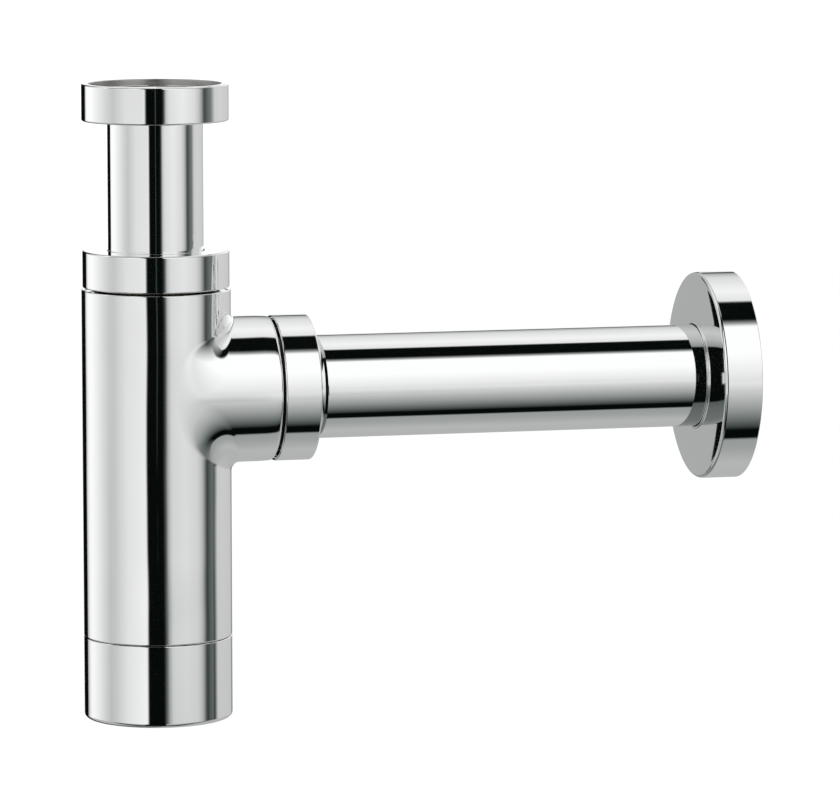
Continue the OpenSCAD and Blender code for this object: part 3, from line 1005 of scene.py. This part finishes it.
def make_studio():
    """White surroundings; what shines sees softboxes with dark gaps between them."""
    world = bpy.data.worlds.new("studio")
    bpy.context.scene.world = world
    nodes = Nodes(world)
    direction = nodes.add("ShaderNodeTexCoord").outputs["Generated"]
    axis = nodes.add("ShaderNodeSeparateXYZ", Vector=direction).outputs
    right, up = axis["X"], axis["Z"]
    front = nodes.math("MULTIPLY", axis["Y"], -1.0)
    left = nodes.math("MULTIPLY", right, -1.0)
    round_angle = nodes.math("ARCTAN2", left, front)
    over_angle = nodes.math("ARCTAN2", up, front)
    closing_in = nodes.ranged(right, *CLOSING_SPAN, *CLOSING)
    over_angle = nodes.math("MULTIPLY", over_angle, closing_in)

    def seen(angle, profile):
        return nodes.ramp(nodes.ranged(angle, -math.pi, math.pi, 0, 1), stops_of(profile))

    def within(value, low, high, soft):
        """1 between low and high, and 0 outside them."""
        rising = nodes.ranged(value, low - soft, low + soft, 0, 1)
        falling = nodes.ranged(value, high - soft, high + soft, 1, 0)
        return nodes.math("MULTIPLY", rising, falling)

    high = nodes.ranged(up, *LOW_TO_HIGH, 0, 1)
    horizon = nodes.mix(high, seen(round_angle, HORIZON_LOW), seen(round_angle, HORIZON_HIGH))
    above_foot = nodes.ranged(up, *SEAM_FOOT, 0, 1)
    seam = nodes.math("MULTIPLY", within(round_angle, *FLAG_SEAM, SEAM_SOFTNESS), above_foot)
    horizon = nodes.mix(seam, horizon, shown(SEAM_GREY))
    flag = within(right, *FLAG_REACH, FLAG_EDGE)
    overhead = nodes.mix(flag, seen(over_angle, OVERHEAD), seen(over_angle, FLAG))
    right_wall = nodes.ranged(right, RIGHT_WALL_FROM, RIGHT_WALL_FULL, 0, 1)
    overhead = nodes.mix(right_wall, overhead, seen(over_angle, RIGHT_WALL))
    lift = nodes.ranged(right, *LIFT_SPAN, *LIFT)
    lowered = nodes.math("MAXIMUM", nodes.math("SUBTRACT", up, lift), LIFT_FROM)
    lowered = nodes.math("MINIMUM", up, lowered)
    studio = nodes.mix(within(lowered, *HORIZON_REACH, HORIZON_EDGE), overhead, horizon)

    path = nodes.add("ShaderNodeLightPath").outputs
    white = (DOME, DOME, DOME, 1)
    colour = nodes.mix(path["Is Glossy Ray"], white, studio)
    background = nodes.add("ShaderNodeBackground", Color=colour)
    out = nodes.add("ShaderNodeOutputWorld")
    nodes.tree.links.new(background.outputs[0], out.inputs["Surface"])


def soft_light(name, place, aim, size, power):
    """A softbox that lights the matt parts. The chrome doesn't show it."""
    light = bpy.data.lights.new(name, "AREA")
    light.size = size
    light.energy = power
    lamp = bpy.data.objects.new(name, light)
    lamp.location = place
    lamp.rotation_euler = (Vector(aim) - Vector(place)).to_track_quat("-Z", "Y").to_euler()
    lamp.visible_glossy = False
    bpy.context.scene.collection.objects.link(lamp)


def make_floor(depth, radius):
    """A round floor, which the chrome doesn't show."""
    skin = Skin()
    count = 64
    angles = np.arange(count) * 2 * math.pi / count
    up = Upright.normals(0, 0, 1, angles)
    rim = skin.ring(Upright.points(radius / MM, -depth / MM, angles))
    middle = np.repeat(skin.ring(Upright.points(0, -depth / MM, angles[:1])), len(angles))
    skin.band(rim, middle, up, up)
    floor = skin.to_object("studio_floor", [pale_floor("pale_floor_paint")])
    floor.visible_glossy = False


def black_felt(name):
    """Matt and almost black, with a soft nap."""
    material, nodes, place = surface(name)
    nap = nodes.noise(place, 40, 2)
    tint = nodes.mix(nap, (0.0016, 0.0018, 0.0017, 1), (0.0024, 0.0026, 0.0025, 1))
    finish_surface(nodes, nodes.add("ShaderNodeBsdfDiffuse", Color=tint))
    return material


def make_card(name, left, right, depth):
    """A black card that stands behind the trap. Only the chrome shows it."""
    low, high = -0.35, 0.1
    mesh = bpy.data.meshes.new(name)
    mesh.from_pydata([(left, depth, low), (right, depth, low), (right, depth, high), (left, depth, high)],
                     [], [(0, 1, 2, 3)])
    mesh.materials.append(FELT)
    card = bpy.data.objects.new(name, mesh)
    card.visible_camera = False
    card.visible_diffuse = False
    card.visible_shadow = False
    bpy.context.scene.collection.objects.link(card)


def make_camera(place, azimuth, elevation, lens):
    camera = bpy.data.objects.new("camera", bpy.data.cameras.new("camera"))
    camera.data.lens = lens
    camera.data.clip_end = 200
    camera.location = place
    turn, tilt = math.radians(azimuth), math.radians(elevation)
    look = Vector((-math.sin(turn) * math.cos(tilt), math.cos(turn) * math.cos(tilt), -math.sin(tilt)))
    camera.rotation_euler = look.to_track_quat("-Z", "Y").to_euler()
    bpy.context.scene.collection.objects.link(camera)
    bpy.context.scene.camera = camera


TRAP_MIDDLE = (0.07, 0, -0.1)
FELT = black_felt("black_felt")

make_studio()
soft_light("key_light", (-1.2, -1.4, 1.3), TRAP_MIDDLE, size=1.0, power=18)
soft_light("fill_light", (1.4, -1.0, 0.6), TRAP_MIDDLE, size=1.2, power=8)
make_floor(depth=3.0, radius=30.0)
make_card("bottle_card", left=-0.078, right=-0.026, depth=0.1)
make_card("flange_card", left=-0.09, right=-0.022, depth=0.5)
make_camera((-0.3353, -1.7380, 0.1258), azimuth=-13.784, elevation=7.28, lens=227.3)
bpy.context.scene.view_settings.view_transform = "Standard"
